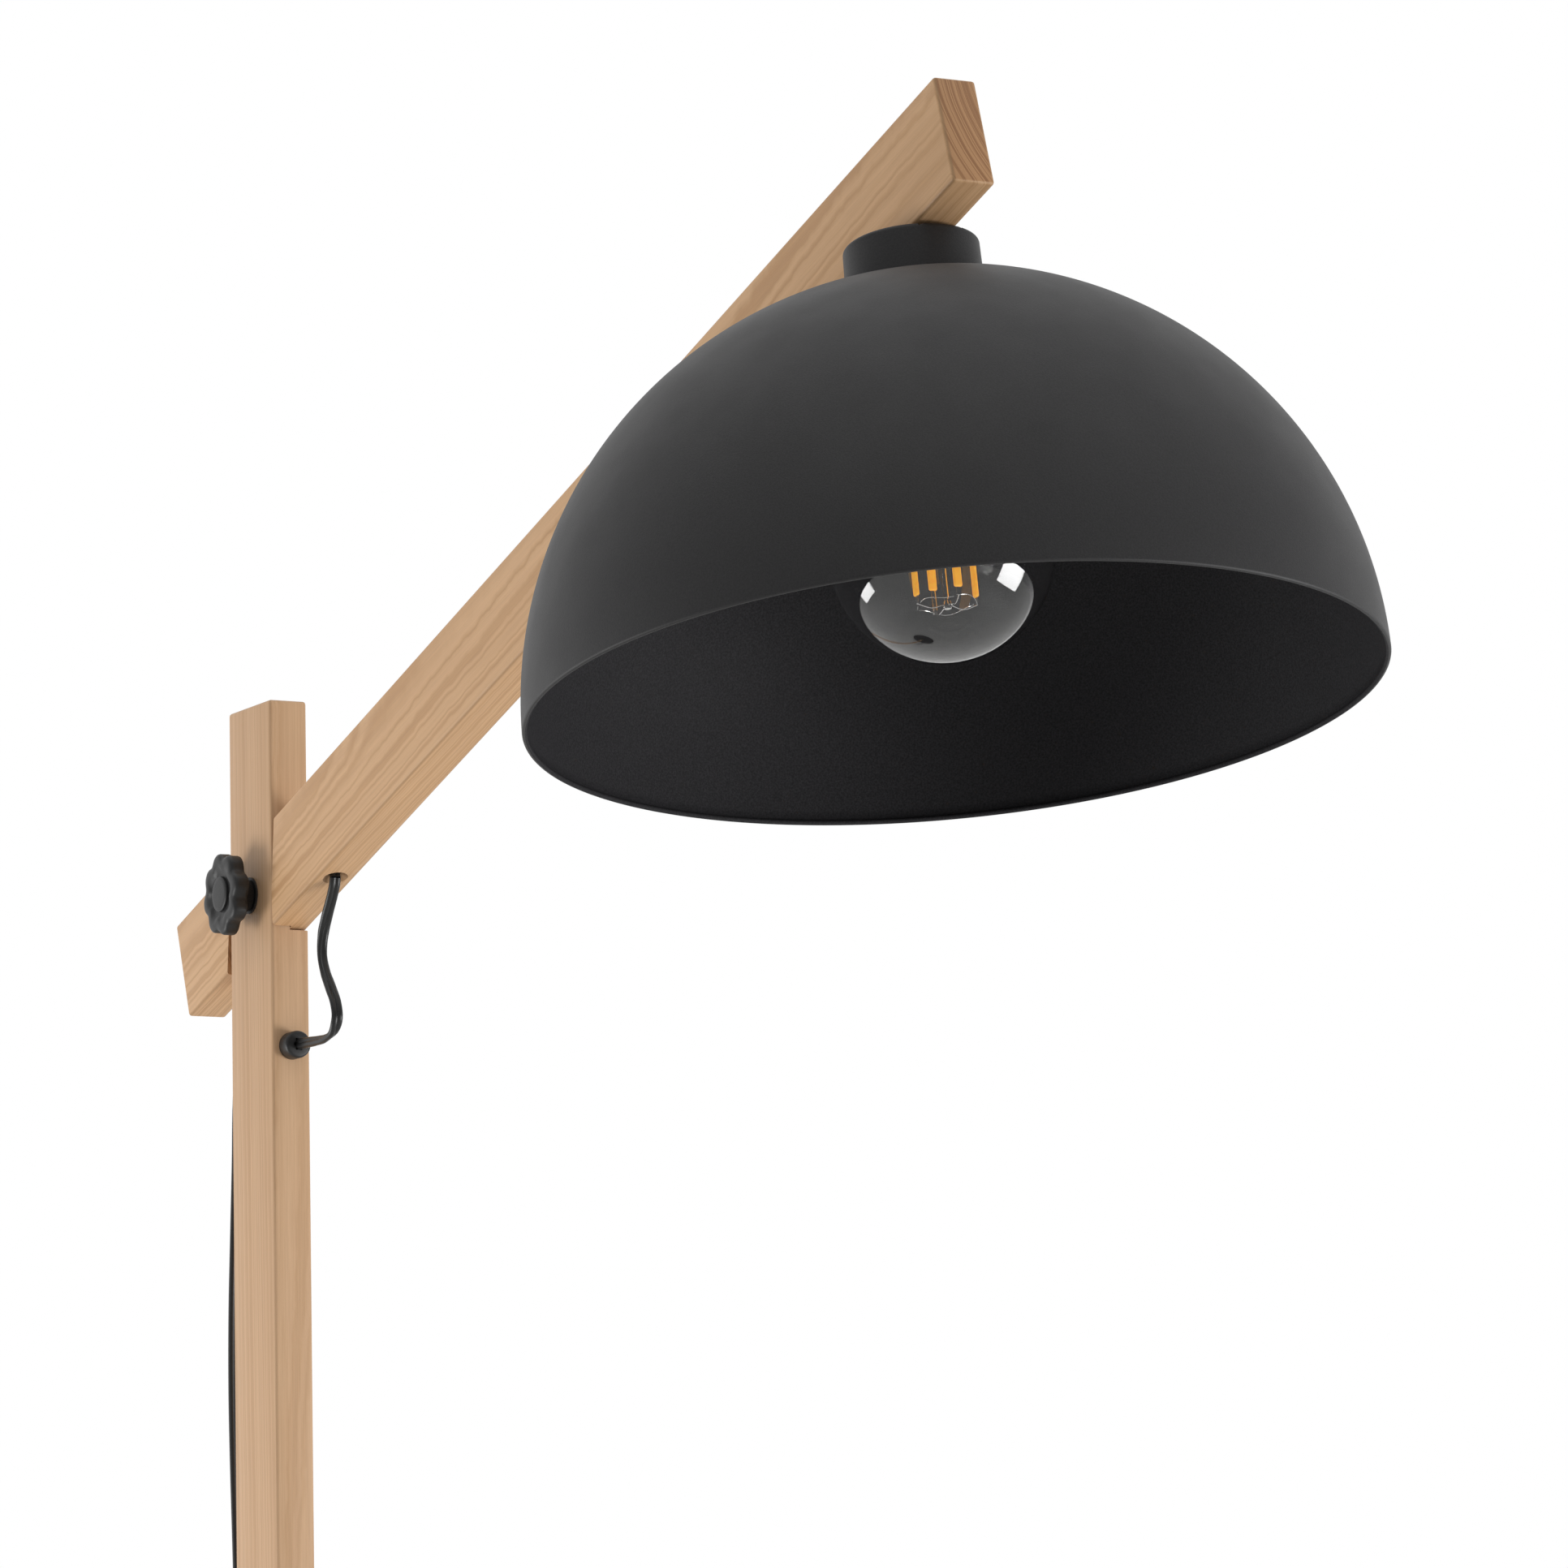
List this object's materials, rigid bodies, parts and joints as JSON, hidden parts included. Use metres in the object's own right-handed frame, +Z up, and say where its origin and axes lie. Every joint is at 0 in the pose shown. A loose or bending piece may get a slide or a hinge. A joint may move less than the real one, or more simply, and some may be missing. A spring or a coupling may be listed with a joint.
{
  "type": "adjustable arm floor lamp",
  "caption": "Floor lamp with a wooden post, a clamped wooden arm and a hemispherical black metal shade over a clear globe bulb.",
  "frame": {"origin": "on the floor, under the middle of the post and of the round base plate", "axes": "+Z up, +X the way the arm reaches, so the clamp knob is on the -Y face of the post"},
  "size_m": [1.2256, 0.36, 1.5537],
  "materials": {
    "wood": "clear oiled, fine open grain",
    "black_powder_coat": "matt, fine sanded texture",
    "black_plastic": "fine matt moulded",
    "cord_jacket": "smooth satin",
    "foot_pad": "soft matt",
    "plated_steel": "zinc plated",
    "brass": "bright",
    "nickel": "bright nickel",
    "ceramic": "unglazed",
    "bulb_insulator": "glassy",
    "clear_glass": "clear",
    "filament_coating": "soft amber phosphor"
  },
  "bodies": {
    "stand": {"base_plate": "black_powder_coat", "base_feet": "foot_pad", "post_socket": "black_powder_coat", "socket_bolts": "plated_steel", "socket_screws": "black_powder_coat", "post": "wood", "front_gland": "black_plastic", "rear_grommet": "black_plastic", "post_lead": "cord_jacket", "pivot_bolt": "black_powder_coat", "bolt_washer": "plated_steel", "knob_washer": "black_plastic", "power_cord": "cord_jacket", "switch_base": "black_plastic", "switch_cover": "black_plastic", "switch_spring": "plated_steel", "switch_reliefs": "black_plastic", "switch_tail": "cord_jacket", "cord_coil": "cord_jacket", "cord_tie": "black_plastic", "plug_lead": "cord_jacket", "plug_relief": "black_plastic", "plug_body": "black_plastic", "plug_pins": "nickel"},
    "arm": {"arm": "wood", "arm_lead": "cord_jacket", "jumper_cord": "cord_jacket", "tilt_bracket": "plated_steel", "bracket_screws": "plated_steel", "tilt_pin": "plated_steel"},
    "knob": {"knob": "black_plastic", "knob_insert": "brass", "knob_cap": "black_plastic"},
    "shade_head": {"tilt_fork": "plated_steel", "canopy": "black_powder_coat", "shade_lead": "cord_jacket", "threaded_tube": "plated_steel", "shade": "black_powder_coat", "shade_washer": "plated_steel", "lock_nut": "plated_steel", "holder_cap": "black_plastic", "holder_body": "black_plastic", "holder_core": "ceramic", "holder_contact": "brass", "screw_shell": "brass", "bulb_glass": "clear_glass", "bulb_cap": "nickel", "bulb_insulator": "bulb_insulator", "bulb_tip": "nickel", "bulb_stem": "clear_glass", "filaments": "filament_coating", "filament_wires": "plated_steel"},
    "foot_button": {"switch_button": "black_plastic"}
  },
  "joints": [
    {"name": "arm_tilt", "type": "hinge", "parent": "stand", "child": "arm", "pos_m": [0, 0, 1.3], "axis": [0, -1, 0], "range_deg": [-3, 6], "deforming": ["jumper_cord"]},
    {"name": "knob_turn", "type": "hinge", "parent": "stand", "child": "knob", "pos_m": [0, -0.02, 1.3], "axis": [0, -1, 0], "range_deg": [0, 360]},
    {"name": "shade_tilt", "type": "hinge", "parent": "arm", "child": "shade_head", "pos_m": [0.66938, 0, 1.48046], "axis": [0, 1, 0], "range_deg": [-3.6, 15], "deforming": ["shade_lead"]},
    {"name": "switch_press", "type": "slide", "parent": "stand", "child": "foot_button", "axis": [0, 0, -1], "range_m": [0, 0.003], "stiffness_N_per_m": 800, "springref_m": -0.002, "deforming": ["switch_spring"]}
  ]
}
